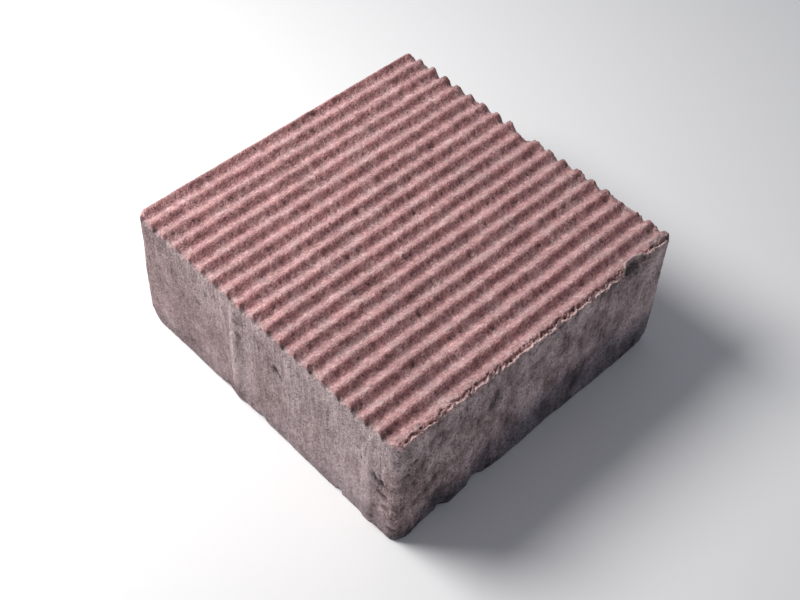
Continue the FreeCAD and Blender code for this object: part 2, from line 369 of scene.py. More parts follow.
PITS = [  # side, place along the side, height, half-width, half-height, depth, how dark (dirt and painted shade in the pit)
    (0, 10.2, 56.8, 1.9, 2.3, 2.6, 1.0),
    (0, 13.0, 54.2, 1.6, 1.4, 0.9, 0.5),
    (0, 89.6, 32.9, 2.2, 2.1, 2.8, 1.0),
    (0, 86.4, 34.0, 1.9, 1.9, 1.4, 0.7),
    (0, 82.6, 46.2, 1.4, 1.6, 0.9, 0.7),
    (0, 85.2, 43.2, 1.6, 1.7, 1.3, 0.9),
    (0, 88.5, 45.3, 1.6, 1.8, 1.3, 0.9),
    (0, 91.2, 43.2, 1.5, 1.6, 1.0, 0.7),
    (0, 86.8, 48.4, 1.4, 1.5, 0.8, 0.6),
    (0, 83.4, 18.0, 1.6, 1.6, 0.8, 0.6),
    (0, 91.5, 24.0, 2.0, 2.2, 0.9, 0.4),
    (0, 76.0, 68.0, 1.6, 1.8, 0.8, 0.5),
    (0, -20.0, 67.0, 1.6, 1.7, 0.8, 0.55),
    (0, -17.6, 57.5, 1.6, 1.5, 0.7, 0.5),
    (0, -16.0, 70.0, 2.6, 3.4, 0.5, 0.3),
    (0, -44.0, 66.0, 3.0, 2.2, 0.5, 0.3),
    (0, -80.0, 44.0, 1.8, 1.6, 0.8, 0.4),
    (0, 50.0, 28.0, 1.8, 1.7, 0.8, 0.4),
    (0, 95.6, 9.0, 1.5, 1.6, 1.2, 0.7),
    (0, 82.4, 7.1, 1.6, 1.6, 0.8, 0.5),
    (0, 71.8, 56.7, 1.5, 1.6, 0.8, 0.5),
    (0, 74.8, 50.2, 1.4, 1.6, 0.8, 0.5),
    (0, 83.5, 44.7, 1.5, 1.7, 1.0, 0.6),
    (0, 88.0, 42.8, 1.9, 2.3, 1.4, 0.9),
    (0, -62.1, 11.6, 2.0, 1.6, 0.9, 0.6),
    (0, -51.4, 26.2, 2.4, 1.3, 0.5, 0.4),
    (0, -51.0, 52.3, 1.8, 1.7, 0.6, 0.4),
    (1, -86.6, 62.4, 1.7, 1.8, 1.3, 0.8),
    (1, -89.6, 63.1, 1.5, 1.8, 1.0, 0.7),
    (1, -69.5, 60.6, 1.7, 2.4, 1.0, 0.7),
    (1, -92.0, 55.5, 2.2, 1.8, 1.2, 0.6),
    (1, -96.0, 54.1, 1.6, 1.6, 1.0, 0.5),
    (1, -82.1, 25.6, 2.2, 2.2, 1.2, 0.6),
    (1, -93.2, 28.2, 1.8, 1.8, 1.0, 0.6),
    (1, 68.6, 80.0, 5.4, 3.9, 3.2, 1.0),
    (1, 76.2, 81.5, 3.2, 2.4, 1.0, 0.12),
    (1, 12.5, 81.6, 3.2, 1.9, 0.9, 0.7),
    (1, 25.0, 81.4, 4.2, 1.5, 0.7, 0.5),
    (1, 52.0, 81.8, 3.0, 1.8, 0.8, 0.6),
    (1, -3.0, 80.8, 2.6, 1.6, 0.7, 0.5),
    (1, -38.0, 81.0, 3.0, 1.7, 0.7, 0.4),
    (1, -80.0, 54.0, 2.8, 2.6, 1.0, 0.5),
    (1, -86.5, 44.0, 2.2, 2.0, 1.0, 0.5),
    (1, -70.0, 34.0, 3.4, 2.2, 1.1, 0.5),
    (1, -86.0, 24.0, 2.6, 2.0, 1.0, 0.5),
    (1, -76.0, 68.0, 1.8, 2.4, 0.9, 0.5),
    (1, -30.0, 60.0, 2.2, 2.0, 1.0, 0.4),
    (1, -4.0, 64.0, 3.6, 2.4, 1.0, 0.4),
    (1, 15.0, 44.0, 3.6, 3.2, 1.0, 0.4),
    (1, 34.0, 63.0, 2.4, 2.8, 1.0, 0.4),
    (2, 42.0, 60.0, 1.8, 2.0, 1.6, 0.7),
    (2, -33.0, 30.0, 2.2, 1.8, 1.2, 0.5),
    (3, 30.0, 52.0, 1.8, 1.8, 1.5, 0.7),
    (3, -70.0, 66.0, 2.0, 1.6, 1.2, 0.5),
]
CHIPS = [  # along the underside's edge: side, place, half-width, height, depth
    (1, -65.9, 3.6, 5.0, 1.3),
    (1, -39.8, 3.4, 5.0, 1.1),
    (0, 57.3, 2.0, 4.0, 1.5),
    (0, -32.5, 4.0, 3.5, 0.9),
    (0, -4.0, 3.0, 3.5, 1.2),
    (2, 30.0, 4.0, 6.0, 2.0),
    (2, -64.0, 3.0, 5.0, 1.8),
    (3, -22.0, 4.0, 6.0, 2.0),
    (3, 71.0, 3.0, 5.0, 1.8),
]
# the foot of the +X side stands out a little, unevenly: place along the side and how far
FLARE_Y = np.array([-99.0, -93.0, -88.0, -80.0, -70.0, -60.0, -54.0, -46.0, -40.0, -31.0, -20.0, -9.0, 0.0, 7.0, 14.0, 24.0, 48.0, 66.0, 80.0, 90.0, 99.0])
FLARE_D = np.array([0.8, 1.15, 1.35, 0.3, 0.1, 0.3, -0.2, -0.9, -0.2, 0.7, 1.4, 1.1, 0.9, 0.6, 0.1, 0.5, 0.7, 0.7, 0.5, 0.1, 0.0])
# how far the corners are worn away, from the foot up
WORN_Z = np.array([0.0, 1.0, 2.0, 3.0, 4.0, 6.0, 8.0, 10.0, 50.0, 60.0, 76.0, 82.0, 90.0])
WORN_R = np.array([
    [10.0, 8.4, 6.6, 4.8, 3.2, 2.0, 0.8, 0, 0, 0, 0, 0, 0],
    [5.4, 4.8, 4.2, 3.8, 3.6, 3.0, 2.0, 0, 0, 7.0, 7.4, 5.4, 0],
    [8.5, 6.8, 5.4, 4.6, 4.0, 3.4, 2.9, 1.6, 0, 0, 0, 0, 0],
    [9.0, 8.0, 7.0, 6.2, 5.6, 5.0, 4.5, 4.0, 0, 0, 0, 0, 0],
])


def side_points(side, t, z):
    """Points of a side at share t and height z, and how dark its pits and hollows are painted, partly dirt and partly
    painted shade.
    """
    px, py, nx, ny = edge_path(side, t, z)
    u = px if side in (0, 2) else py
    off = nib_height(side, u, z)
    # fuller below towards the -X -Y corner
    off = off + 0.5 * smooth((-px - 76.0) / 18.0) * smooth((-py - 76.0) / 18.0) * smooth((62.0 - z) / 22.0)
    # cast skin: broad unevenness, faint upright drag marks, sandy roughness
    off = off + 0.28 * fbm(px / 16, py / 16, z / 26, 51, 2)
    off = off + 0.12 * noise(px / 2.6, py / 2.6, z / 20, 53) * smooth((z - 40) / 25)
    off = off + 0.15 * noise(px / 4.6, py / 4.6, z / 8.4, 54) + 0.13 * noise(px / 2.3, py / 2.3, z / 4.2, 55)
    # lumpier round the +X -Y corner
    lumpy = smooth((px - 76.0) / 14.0) * smooth((-py - 64.0) / 18.0) * smooth((72.0 - z) / 12.0)
    off = off + 0.30 * noise(px / 2.8, py / 2.8, z / 3.6, 70) * lumpy
    rough = np.maximum(smooth((noise(px / 17, py / 17, z / 17, 56) - 0.05) / 0.4), 0.8 * lumpy)
    if side == 1:
        rough = np.maximum(rough, 0.6)
    pitted = np.clip(noise(px / 3.1, py / 3.1, z / 4.8, 57) - 0.08, 0, 1) * rough
    off = off - 0.7 * pitted
    hollow = np.clip((0.95 if side == 1 else 0.45) * (pitted - 0.1), 0, 0.5)
    if side == 1:
        # the upper edge winds in and out
        lip = np.clip(0.05 + 0.60 * noise(py / 7.0, 0.9, 0.3, 66) + 0.60 * noise(py / 2.2, 0.2, 0.8, 67), 0, 1.3)
        off = off - lip * smooth((z - 79.0) / 4.0)
        torn = np.clip(noise(py / 2.6, z / 1.9, 0.4, 68) - 0.02, 0, 1) * smooth((z - 77.0) / 4.0)
        off = off - 0.8 * torn
        # torn places are darkened, partly dirt and partly painted shade
        hollow = np.maximum(hollow, np.clip(1.5 * (torn - 0.08), 0, 0.7))
    for s, at, zz, rw, rh, depth, how in PITS:
        if s == side:
            du = (u - at) / rw + 0.35 * noise(px / (0.8 * rw), py / (0.8 * rw), z / (0.8 * rh), 58)
            dz = (z - zz) / rh + 0.35 * noise(px / (0.8 * rw), py / (0.8 * rw), z / (0.8 * rh), 60)
            dd = np.hypot(du, dz)
            inn = smooth((1.25 - dd) / 0.55)
            off = off - depth * inn * (0.8 + 0.4 * np.abs(noise(px / 1.8, py / 1.8, z / 1.8, 59)))
            hollow = np.maximum(hollow, inn * how * (1.0 if rw < 4.0 else np.clip(0.95 + 0.9 * noise(px / 2.0, py / 2.0, z / 2.0, 69), 0.35, 1)))
    off = np.maximum(off, -2.4)
    # foot edge: rounded by an uneven amount, and broken out in places
    mean = (1.7, 0.9, 1.7, 1.7)[side] - (1.1 * smooth((px - 18.0) / 14.0) if side == 0 else 0.0)
    rho = mean + 0.6 * noise(px / 11, py / 11, 0.2, 61) + 0.5 * noise(px / 4.1, py / 4.1, 0.2, 62)
    rho = np.clip(rho, 0.25, 4.0)
    tt = np.clip(1 - z / rho, 0, 1)
    off = off - rho * (1 - np.sqrt(np.maximum(1 - tt * tt, 0)))
    if side == 1:
        off = off + np.interp(u, FLARE_Y, FLARE_D) * smooth(1 - z / 16.0)
    for s, at, hw, hh, depth in CHIPS:
        if s == side:
            off = off - depth * smooth(1.35 - np.abs(u - at) / hw) * smooth(1.2 - z / hh)
    off = np.where(off > 0, np.minimum(off, NIB), off)
    x, y = px + nx * off, py + ny * off
    for c, (sx, sy) in enumerate(SIGNS):
        R = np.interp(z, WORN_Z, WORN_R[c])
        ax, ay = x * sx - (A - R), y * sy - (A - R)
        far = np.hypot(ax, ay)
        cut = (ax > 0) & (ay > 0) & (far > R) & (R > 0.3)
        k = np.where(cut, R / np.maximum(far, 1e-6), 1.0)
        jag = np.where(cut, 0.25 * noise(px / 3, py / 3, z / 3, 63), 0.0)
        x = np.where(cut, sx * (A - R + ax * k + jag * ax / np.maximum(far, 1e-6)), x)
        y = np.where(cut, sy * (A - R + ay * k + jag * ay / np.maximum(far, 1e-6)), y)
    return x, y, hollow


def painted_foot_shade(x, y, z):
    """Painted shade at the foot of the slab, dark and bluish: high and blotchy on the +X side, a trace elsewhere."""
    n = fbm(x / 15, y / 15, z / 15, 81, 4, 0.6)
    right = smooth((x - (A - 6.0)) / 4.0)
    level = np.interp(y, [-99, -75, -40, -5, 25, 50, 75, 99], [8, 12, 17.5, 23, 27, 30, 25, 21])
    foot_shade = 1 - (z + 16.0 * n) / np.maximum(level, 1.0)
    foot_shade = smooth(0.5 + 0.62 * foot_shade) * right
    trace = smooth((19.0 + 9.0 * n - z) / 18.0) * 0.42 * (1 - right)
    return np.clip(foot_shade + trace, 0, 1)


def share(g, side):
    """Share of the side at each rim point, from the grid coordinate that runs along it."""
    r0, r1, arc0, arc1, run = lengths(side)
    s = g + (A - r0) + arc0
    for far, r, start, way in ((-g - (A - r0), r0, arc0, -1), (g - (A - r1), r1, arc0 + run, 1)):
        u = np.clip(far / r, 0, 1)
        bend = np.arctan2(u * np.sqrt(0.5), np.sqrt(np.maximum(1 - u * u / 2, 0)))
        s = np.where(far > 0, start + way * r * bend, s)
    return s / (arc0 + run + arc1)


def follow(side):
    """Carries the rim of the top face, and what lies next to it, along with the uneven side below."""
    if side in (0, 2):
        col = 0 if side == 0 else NY - 1
        order = slice(None) if side == 0 else slice(None, None, -1)
        run = xs if side == 0 else -xs[::-1]
        x, y, _ = side_points(side, share(run, side), TZ[order, col])
        dx, dy = (x - TX[order, col])[order], (y - TY[order, col])[order]
        w = np.clip(1 - np.abs(ys - ys[col]) / 7.0, 0, 1) ** 2
        return dx[:, None] * w[None, :], dy[:, None] * w[None, :]
    row = NX - 1 if side == 1 else 0
    order = slice(None) if side == 1 else slice(None, None, -1)
    run = ys if side == 1 else -ys[::-1]
    x, y, _ = side_points(side, share(run, side), TZ[row, order])
    dx, dy = (x - TX[row, order])[order], (y - TY[row, order])[order]
    inner = 1 - smooth((np.abs(ys) - (A - 8.0)) / 5.0)
    w = np.clip(1 - np.abs(xs - xs[row]) / 9.0, 0, 1) ** 2
    return w[:, None] * (dx * inner)[None, :], w[:, None] * (dy * inner)[None, :]


moves = [follow(side) for side in range(4)]
TX = TX + sum(m[0] for m in moves)
TY = TY + sum(m[1] for m in moves)


# ------------------------------------------------------------------------------ the mesh
verts, pink, dark = [], [], []
quads, tris = [], []
quad_uv, tri_uv = [], []
count = 0
ATLAS = 440.0


def add(points, facing, hollow):
    global count
    points = np.asarray(points, float)
    verts.append(points)
    pink.append(np.broadcast_to(np.asarray(facing, float), (len(points),)))
    dark.append(np.broadcast_to(np.asarray(hollow, float), (len(points),)))
    ids = np.arange(count, count + len(points))
    count += len(points)
    return ids


def add_quads(q, uv):
    quads.append(np.asarray(q, int).reshape(-1, 4))
    quad_uv.append(np.asarray(uv, float).reshape(-1, 4, 2))


def zip_rows(ia, ta, uva, ib, tb, uvb):
    """Triangles between an upper row a and a lower row b that run the same way with different steps."""
    out, outuv = [], []
    i = j = 0
    while i < len(ia) - 1 or j < len(ib) - 1:
        if j == len(ib) - 1 or (i < len(ia) - 1 and ta[i + 1] <= tb[j + 1]):
            out.append((ia[i], ib[j], ia[i + 1]))
            outuv.append((uva[i], uvb[j], uva[i + 1]))
            i += 1
        else:
            out.append((ia[i], ib[j], ib[j + 1]))
            outuv.append((uva[i], uvb[j], uvb[j + 1]))
            j += 1
    tris.append(np.array(out, int))
    tri_uv.append(np.array(outuv, float))


# top face: coarse where its flanks face +X; darkened in pores, trench, hollows and wherever it lies below the groove
# floors, partly dirt and partly painted shade
low_spot = np.maximum(np.clip((H - DEPTH - 1.4 - TZ) / 2.5, 0, 1), DIRT_AND_SHADE)
top_id = np.full((NX, NY), -1)
for part in (np.s_[:NEAR, ::2], np.s_[NEAR:, :]):
    pts = np.stack([TX[part].ravel(), TY[part].ravel(), TZ[part].ravel()], 1)
    top_id[part] = add(pts, (1 - 0.9 * OUTER[part]).ravel(), np.clip(low_spot[part], 0, 1).ravel()).reshape(TX[part].shape)
used = top_id >= 0
tuv = np.stack([(GX + A) / (2 * A) * 230 + 4, (GY + A) / (2 * A) * 230 + 4], -1) / ATLAS
for part in (np.s_[:NEAR, ::2], np.s_[NEAR:, :]):
    i, t = top_id[part], tuv[part]
    add_quads(
        np.stack([i[:-1, :-1], i[1:, :-1], i[1:, 1:], i[:-1, 1:]], -1),
        np.stack([t[:-1, :-1], t[1:, :-1], t[1:, 1:], t[:-1, 1:]], -2),
    )
zip_rows(top_id[NEAR - 1, ::2], ys[::2], tuv[NEAR - 1, ::2], top_id[NEAR], ys, tuv[NEAR])

# the top's rim, side by side: ids, and the grid coordinate that runs along each side
rim = [
    (top_id[:, 0], xs), (top_id[-1, :], ys), (top_id[::-1, -1], -xs[::-1]), (top_id[0, ::-2], -ys[::-2]),
]


def side_uv(side, t, z):
    return np.stack([240 + 196 * np.asarray(t), np.full(np.shape(t), 4.0 + 94.0 * side) + np.asarray(z)], -1) / ATLAS


LEVEL = 71.0


def columns(side):
    """Shares of a side at which its columns stand: closer at the nibs and the worn corner of the -Y side."""
    if side != 0:
        return np.linspace(0, 1, (146, 146, 62, 62)[side] + 1)
    parts = ((-A, -28.0, 1.6), (-28.0, -12.0, 0.8), (-12.0, 7.0, 1.6), (7.0, 14.0, 1.0), (14.0, 72.0, 1.7), (72.0, 95.0, 0.8), (95.0, A, 1.2))
    return share(np.concatenate([np.linspace(a, b, int(round((b - a) / step)) + 1)[:-1] for a, b, step in parts] + [[A]]), side)


ROWS = np.concatenate([np.linspace(LEVEL, 5.0, 46), [3.9, 3.0, 2.2, 1.5, 0.9, 0.4, 0.0]])
N_FOOT = 40
side_corner = {}
collar_corner = {}

for side in range(4):
    ids, run = rim[side]
    t = share(run, side)
    here = np.concatenate(verts)[ids]
    z0 = here[:, 2]
    # collar: from the wavy rim down to a level row
    prev, prev_z = ids, z0
    for n in range(7):
        if n < 4:
            z = z0 - np.minimum((0.22, 0.8, 1.9, 3.8)[n], (z0 - LEVEL) * (0.06, 0.18, 0.36, 0.55)[n])
        else:
            low = z0 - np.minimum(3.8, (z0 - LEVEL) * 0.55)
            f = (0.33, 0.67, 1.0)[n - 4]
            z = low * (1 - f) + LEVEL * f
        x, y, hol = side_points(side, t, z)
        if n == 0:
            x, y = 0.75 * x + 0.25 * here[:, 0], 0.75 * y + 0.25 * here[:, 1]
        ragged = 0.35 * noise(here[:, 0] / 2.2, here[:, 1] / 2.2, 0.5, 65)
        facing = np.clip((0.9, 0.62, 0.25, 0.04, 0.0, 0.0, 0.0)[n] + ragged * (0.4, 0.8, 0.7, 0.2, 0, 0, 0)[n], 0, 1)
        if side in (0, 2) and n < 5:
            lift = np.clip((z0 - (H - DEPTH)) / DEPTH, 0, 1)
            facing = smooth((z - (H - DEPTH + 0.9 - 1.8 * lift + 1.3 * smooth((here[:, 0] - 88.0) / 5.0)) + 2.4 * ragged) / 1.3)
        new = np.empty(len(t), int)
        first_known = collar_corner.get((side, n))
        last_known = collar_corner.get(((side + 1) % 4, n))
        pts = np.stack([x, y, z], 1)
        a = 0 if first_known is None else 1
        b = len(t) if last_known is None else len(t) - 1
        new[a:b] = add(pts[a:b], facing[a:b], hol[a:b])
        if first_known is not None:
            new[0] = first_known
        if last_known is not None:
            new[-1] = last_known
        collar_corner[(side, n)] = new[0]
        collar_corner[((side + 1) % 4, n)] = new[-1]
        ua, ub = side_uv(side, t, prev_z), side_uv(side, t, z)
        add_quads(
            np.stack([prev[:-1], new[:-1], new[1:], prev[1:]], -1),
            np.stack([ua[:-1], ub[:-1], ub[1:], ua[1:]], -2),
        )
        prev, prev_z = new, z
    # body of the side
    ts = columns(side)
    first = True
    for n, zr in enumerate(ROWS[1:]):
        z = np.full(len(ts), zr)
        x, y, hol = side_points(side, ts, z)
        pts = np.stack([x, y, z], 1)
        first_known = side_corner.get((side, n))
        last_known = side_corner.get(((side + 1) % 4, n))
        new = np.empty(len(ts), int)
        a = 0 if first_known is None else 1
        b = len(ts) if last_known is None else len(ts) - 1
        new[a:b] = add(pts[a:b], 0.0, hol[a:b])
        if first_known is not None:
            new[0] = first_known
        if last_known is not None:
            new[-1] = last_known
        side_corner[(side, n)] = new[0]
        side_corner[((side + 1) % 4, n)] = new[-1]
        if first:
            zip_rows(prev, t, side_uv(side, t, prev_z), new, ts, side_uv(side, ts, z))
            first = False
        else:
            ua, ub = side_uv(side, ts, prev_z), side_uv(side, ts, z)
            add_quads(
                np.stack([prev[:-1], new[:-1], new[1:], prev[1:]], -1),
                np.stack([ua[:-1], ub[:-1], ub[1:], ua[1:]], -2),
            )
        prev, prev_z = new, z
    rim[side] = (prev, ts)      # now the foot row of this side

# underside: a coarser grid inside the foot row
B = A - 12.0
g = np.linspace(-B, B, N_FOOT + 1)
UX, UY = np.meshgrid(g, g, indexing="ij")
UZ = 0.25 * np.clip(noise(UX / 9, UY / 9, 0, 71) + 0.6 * noise(UX / 23, UY / 23, 0, 72), 0, 1)
low_id = add(np.stack([UX.ravel(), UY.ravel(), UZ.ravel()], 1), 0.0, 0.0).reshape(N_FOOT + 1, N_FOOT + 1)


def low_uv(x, y):
    return np.stack([(np.asarray(x) + A) / (2 * A) * 196 + 4, (np.asarray(y) + A) / (2 * A) * 196 + 240], -1) / ATLAS


luv = low_uv(UX, UY)
add_quads(
    np.stack([low_id[:-1, :-1], low_id[:-1, 1:], low_id[1:, 1:], low_id[1:, :-1]], -1),
    np.stack([luv[:-1, :-1], luv[:-1, 1:], luv[1:, 1:], luv[1:, :-1]], -2),
)
low_rim = [low_id[:, 0], low_id[-1, :], low_id[::-1, -1], low_id[0, ::-1]]
V = np.concatenate(verts)
for side in range(4):
    ids, ts = rim[side]
    li = low_rim[side]
    tl = np.linspace(0, 1, len(li))
    zip_rows(ids, ts, low_uv(V[ids, 0], V[ids, 1]), li, tl, low_uv(V[li, 0], V[li, 1]))

V[:, 0:2] = np.clip(V[:, 0:2], -LIMIT, LIMIT)
V[:, 2] = np.clip(V[:, 2], 0.0, H)
Q, T = np.concatenate(quads), np.concatenate(tris)
QUV, TUV = np.concatenate(quad_uv), np.concatenate(tri_uv)
FACING = np.concatenate(pink)
HOLLOW = np.concatenate(dark)
PALE = np.zeros(len(V))
PALE[top_id[used]] = FLASH[used]
COARSE = np.where(V[:, 0] > A - 5.0, 0.8, 0.3)
COARSE[top_id[used]] = LEE[used]
# bluish painted shade at the foot of the sides
PAINTED_FOOT_SHADE = painted_foot_shade(V[:, 0], V[:, 1], V[:, 2]) * (1 - FACING)
# pale cement skin on the sides, more of it high up, with painted light over it: the -Y side is painted
# paler towards +X and darker towards -X, the +X side paler high up; the top is painted a little paler towards the -X +Y
# corner
FRONT = smooth((-V[:, 1] - (A - 5.0)) / 4.0)
RIGHT = smooth((V[:, 0] - (A - 5.0)) / 4.0) * (1 - FRONT)
# painted light on the -Y side: paler towards +X, darker towards -X; more skin high up
SKIN_AND_LIGHT = 0.5 + FRONT * (0.34 * V[:, 0] / A + 0.12 * smooth((V[:, 2] - 40.0) / 25.0))
# the +X side: more skin, paler towards +Y, and painted paler high up as painted light
SKIN_AND_LIGHT = SKIN_AND_LIGHT + RIGHT * (0.08 + 0.26 * smooth((V[:, 2] - 34.0) / 34.0) + 0.40 * smooth((V[:, 1] - 24.0) / 50.0))
# pale painted highlights down the lit -X flanks of the -Y side's nibs
for at, wide, much in ((-23.2, 0.9, 1.0), (80.0, 1.7, 0.95)):
    SKIN_AND_LIGHT = SKIN_AND_LIGHT + FRONT * much * np.exp(-((V[:, 0] - at) / wide) ** 2) * smooth((80.0 - V[:, 2]) / 4.0) * smooth((V[:, 2] - 10.0) / 10.0)
SKIN_AND_LIGHT = SKIN_AND_LIGHT - FRONT * smooth((66.0 - V[:, 2]) / 12.0) * (0.34 * smooth((V[:, 0] - 80.0) / 3.0)
                                                        + 0.42 * smooth((V[:, 0] - 89.0) / 4.0) * smooth((V[:, 2] - 12.0) / 14.0))
SKIN_AND_LIGHT = SKIN_AND_LIGHT - RIGHT * 0.30 * smooth((-76.0 - V[:, 1]) / 10.0) * smooth((64.0 - V[:, 2]) / 12.0)
# painted light: the top a little paler towards the -X +Y corner
SKIN_AND_LIGHT[top_id[used]] = (0.5 - 0.09 * TX / A + 0.07 * TY / A)[used]
# where the redder painted shade tint goes
FLANK_SHADE_TINT = np.zeros(len(V))
FLANK_SHADE_TINT[top_id[used]] = SHADE_TINT[used]

mesh = bpy.data.meshes.new("paving_slab_cast")
mesh.vertices.add(len(V))
mesh.vertices.foreach_set("co", (V / 1000.0).astype(np.float32).ravel())
mesh.loops.add(Q.size + T.size)
mesh.loops.foreach_set("vertex_index", np.concatenate([Q.ravel(), T.ravel()]).astype(np.int32))
mesh.polygons.add(len(Q) + len(T))
starts = np.concatenate([np.arange(len(Q)) * 4, len(Q) * 4 + np.arange(len(T)) * 3])
mesh.polygons.foreach_set("loop_start", starts.astype(np.int32))
mesh.update(calc_edges=True)
mesh.polygons.foreach_set("use_smooth", np.ones(len(mesh.polygons), bool))
uv = mesh.uv_layers.new(name="OFBake")
uv.uv.foreach_set("vector", np.concatenate([QUV.reshape(-1, 2), TUV.reshape(-1, 2)]).astype(np.float32).ravel())
for name, values in (("facing_mix", FACING), ("hollow", HOLLOW), ("coarse", COARSE), ("painted_foot_shade", PAINTED_FOOT_SHADE), ("flash", PALE), ("skin_and_light", SKIN_AND_LIGHT), ("flank", FLANK_SHADE_TINT)):
    attr = mesh.attributes.new(name, "FLOAT", "POINT")
    attr.data.foreach_set("value", values.astype(np.float32))
mesh.validate(verbose=False)

slab = bpy.data.objects.new("paving_slab_cast", mesh)
bpy.context.scene.collection.objects.link(slab)


# ------------------------------------------------------------------------------ materials
def new_material(name):
    m = bpy.data.materials.new(name)
    m.use_nodes = True
    nt = m.node_tree
    nt.nodes.clear()
    return m, nt


def node(nt, kind, **values):
    n = nt.nodes.new(kind)
    for k, v in values.items():
        setattr(n, k, v)
    return n


def ramp(nt, stops, interpolation="LINEAR"):
    r = nt.nodes.new("ShaderNodeValToRGB")
    r.color_ramp.interpolation = interpolation
    e = r.color_ramp.elements
    while len(e) > 1:
        e.remove(e[-1])
    for n, (p, c) in enumerate(stops):
        if n:
            el = e.new(p)
        else:
            el = e[0]
            el.position = p
        el.color = c if len(c) == 4 else (*c, 1)
    return r


def concrete():
    m, nt = new_material("pressed_concrete")
    link = nt.links.new
    out = node(nt, "ShaderNodeOutputMaterial")
    bsdf = node(nt, "ShaderNodeBsdfPrincipled")
    bsdf.inputs["Specular IOR Level"].default_value = 0.2
    link(bsdf.outputs[0], out.inputs[0])
    tc = node(nt, "ShaderNodeTexCoord")
    mm = node(nt, "ShaderNodeVectorMath", operation="SCALE")
    mm.inputs["Scale"].default_value = 1000.0
    link(tc.outputs["Object"], mm.inputs[0])

    def tex(scale, detail=3.0, rough=0.55, distort=0.0, stretch=None):
        n = node(nt, "ShaderNodeTexNoise")
        n.inputs["Scale"].default_value = scale
        n.inputs["Detail"].default_value = detail
        n.inputs["Roughness"].default_value = rough
        n.inputs["Distortion"].default_value = distort
        src = mm.outputs[0]
        if stretch:
            s = node(nt, "ShaderNodeVectorMath", operation="MULTIPLY")
            s.inputs[1].default_value = stretch
            link(src, s.inputs[0])
            src = s.outputs[0]
        link(src, n.inputs["Vector"])
        return n.outputs["Fac"]

    def mix(a, b, fac, mode="MIX"):
        n = node(nt, "ShaderNodeMix", data_type="RGBA", blend_type=mode)
        for sock, val in ((n.inputs[0], fac), (n.inputs[6], a), (n.inputs[7], b)):
            if isinstance(val, (int, float)):
                sock.default_value = val
            elif isinstance(val, tuple):
                sock.default_value = (*val, 1)
            else:
                link(val, sock)
        return n.outputs[2]

    def math_(op, a, b=0.0, clamp=False):
        n = node(nt, "ShaderNodeMath", operation=op, use_clamp=clamp)
        for sock, val in ((n.inputs[0], a), (n.inputs[1], b)):
            if isinstance(val, (int, float)):
                sock.default_value = val
            else:
                link(val, sock)
        return n.outputs[0]

    def span(value, a, b, lo=0.0, hi=1.0, kind="SMOOTHSTEP"):
        n = node(nt, "ShaderNodeMapRange", interpolation_type=kind)
        n.inputs["From Min"].default_value = a
        n.inputs["From Max"].default_value = b
        n.inputs["To Min"].default_value = lo
        n.inputs["To Max"].default_value = hi
        link(value, n.inputs["Value"])
        return n.outputs[0]

    def attribute(name):
        return node(nt, "ShaderNodeAttribute", attribute_name=name).outputs["Fac"]

    def scaled(col, fac):
        n = node(nt, "ShaderNodeVectorMath", operation="SCALE")
        link(col, n.inputs[0])
        link(fac, n.inputs["Scale"])
        return n.outputs[0]

    facing, hollow, coarse_at, painted_foot_shade_at, flash_at, skin_and_light_at, shade_tint_at = (
        attribute(n) for n in ("facing_mix", "hollow", "coarse", "painted_foot_shade", "flash", "skin_and_light", "flank"))

    drawn = (1.0, 1.0, 0.55)
    grain = tex(0.90, 2.0, 0.62, 0.0, (1.0, 1.0, 0.75))
    clump = tex(0.42, 3.0, 0.65, 0.0, drawn)
    fine = tex(2.3, 1.5, 0.6)
    blot = tex(0.20, 4.0, 0.68, 0.0, drawn)
    mott = tex(0.085, 4.5, 0.64, 0.0, drawn)
    patch = tex(0.045, 2.0, 0.5)
    streak = tex(1.0, 2.0, 0.55, 0.0, (0.34, 0.34, 0.05))
    both = math_("ADD", math_("MULTIPLY", grain, 0.54), math_("MULTIPLY", clump, 0.46))

    # single grains of sand, each a little lighter or darker
    bend = node(nt, "ShaderNodeTexNoise")
    bend.inputs["Scale"].default_value = 0.8
    link(mm.outputs[0], bend.inputs["Vector"])
    warp = node(nt, "ShaderNodeVectorMath", operation="ADD")
    link(mm.outputs[0], warp.inputs[0])
    link(bend.outputs["Color"], warp.inputs[1])

    def cells(scale):
        v = node(nt, "ShaderNodeTexVoronoi", feature="F1", distance="EUCLIDEAN")
        v.inputs["Scale"].default_value = scale
        v.inputs["Randomness"].default_value = 1.0
        link(warp.outputs[0], v.inputs["Vector"])
        sep = node(nt, "ShaderNodeSeparateColor")
        link(v.outputs["Color"], sep.inputs[0])
        return v.outputs["Distance"], sep.outputs[0], sep.outputs[1]

    dome, sand, _ = cells(0.95)

    # coloured facing: red-pink, darker and lighter by grain and by patches, greyer here and there,
    # and a redder painted shade tint on the +X flanks and the crests' far edges, where each rib turns into shade
    r_top = ramp(nt, [(0.30, (0.29, 0.140, 0.142)), (0.5, (0.505, 0.287, 0.288)), (0.70, (0.76, 0.500, 0.485))])
    link(both, r_top.inputs[0])
    r_grey = ramp(nt, [(0.30, (0.28, 0.178, 0.176)), (0.5, (0.48, 0.345, 0.338)), (0.70, (0.73, 0.585, 0.57))])
    link(both, r_grey.inputs[0])
    top = mix(r_top.outputs[0], r_grey.outputs[0], span(mott, 0.40, 0.66, 0.0, 0.6))
